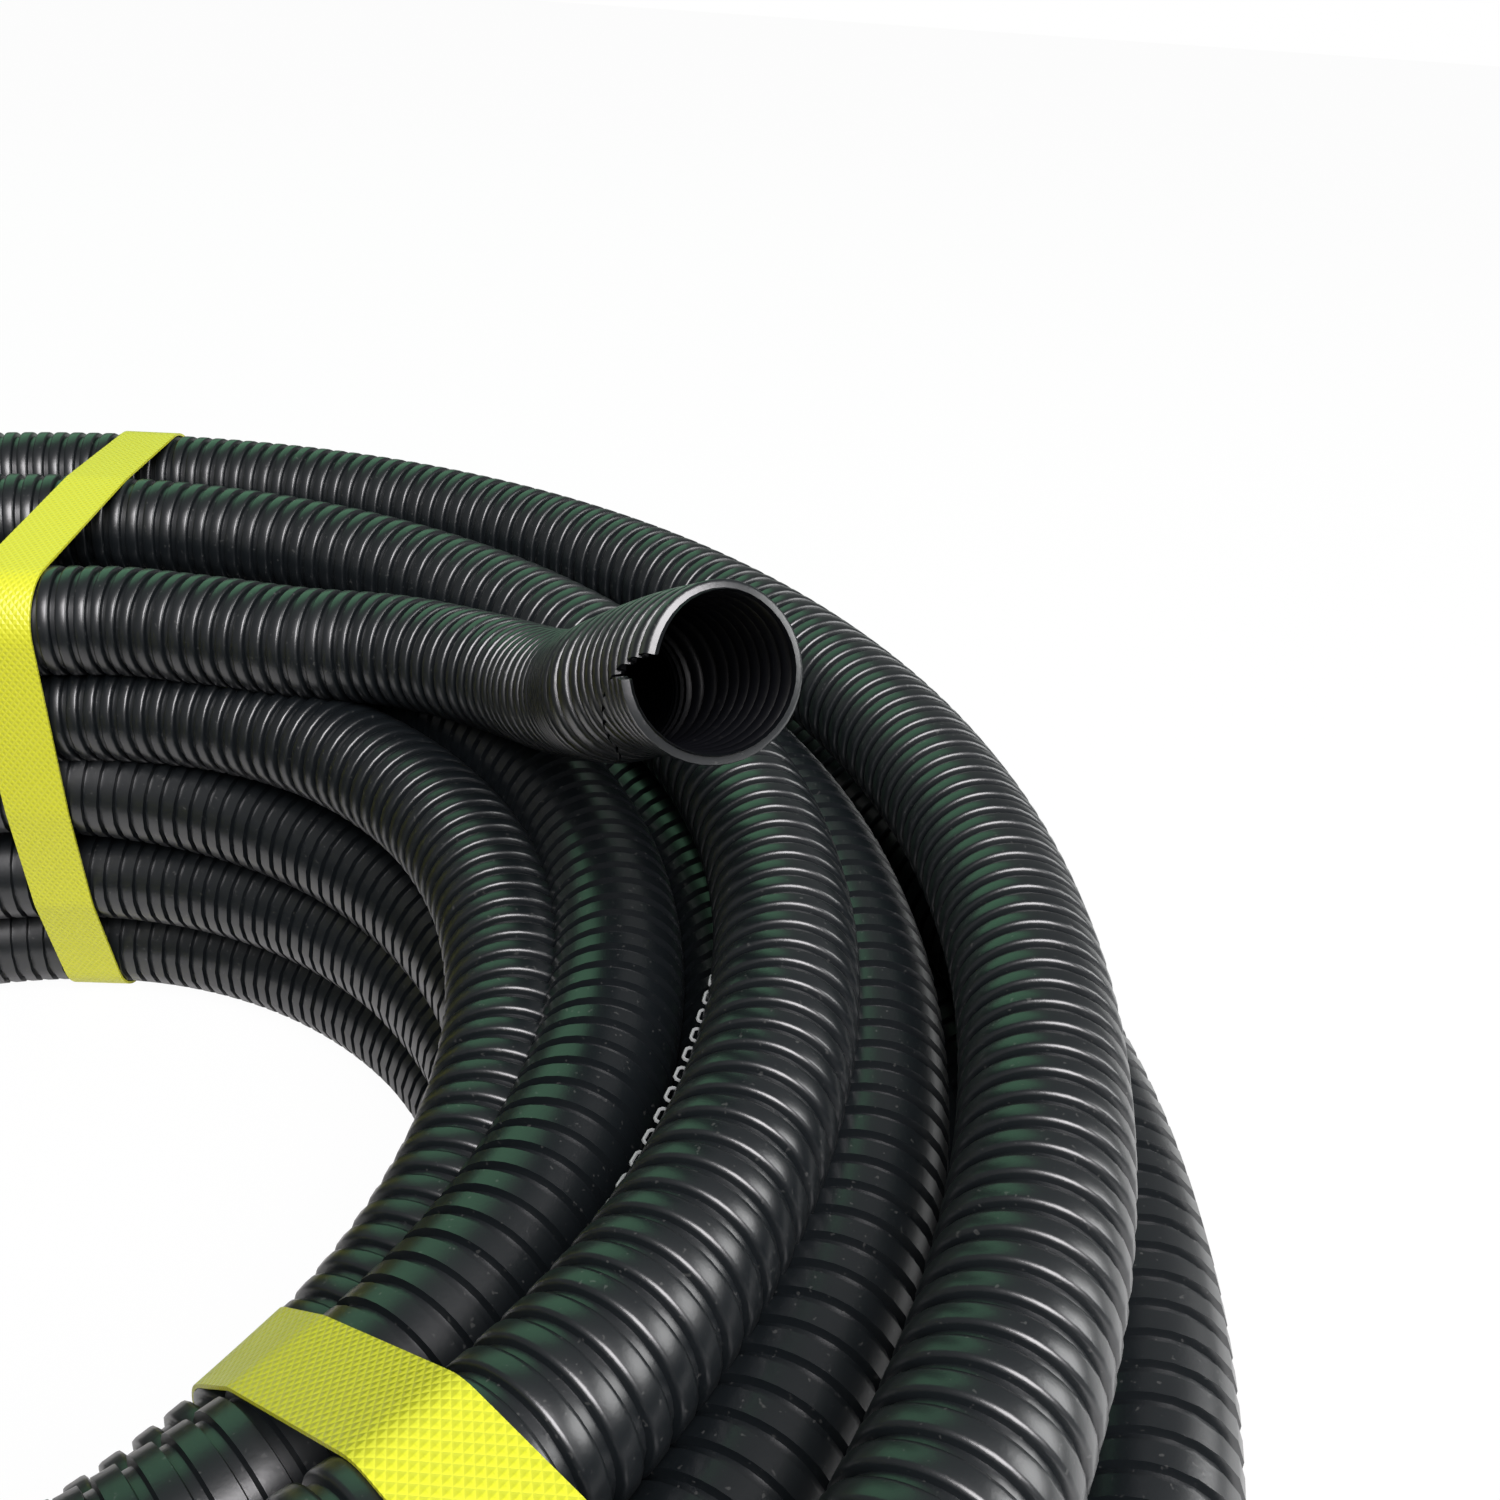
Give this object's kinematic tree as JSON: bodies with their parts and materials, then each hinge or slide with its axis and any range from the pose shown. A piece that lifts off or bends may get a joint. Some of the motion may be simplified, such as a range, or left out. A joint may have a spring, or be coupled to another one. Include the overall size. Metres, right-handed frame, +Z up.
{
  "type": "coil of corrugated conduit",
  "caption": "Coil of black split corrugated plastic conduit lying flat, tied with flat lime-yellow straps, its slit free end standing up out of the top turns.",
  "frame": {"origin": "on the floor under the straps, on the coil's axis", "axes": "+Z up along the coil's axis, +X roughly towards the side where the free end stands up"},
  "size_m": [0.5072, 0.507, 0.2018],
  "materials": {
    "black_plastic": "satin",
    "strap_plastic": "satin, embossed"
  },
  "bodies": {
    "root": {"conduit": "black_plastic", "strap_1": "strap_plastic", "strap_2": "strap_plastic", "strap_3": "strap_plastic"}
  },
  "joints": []
}
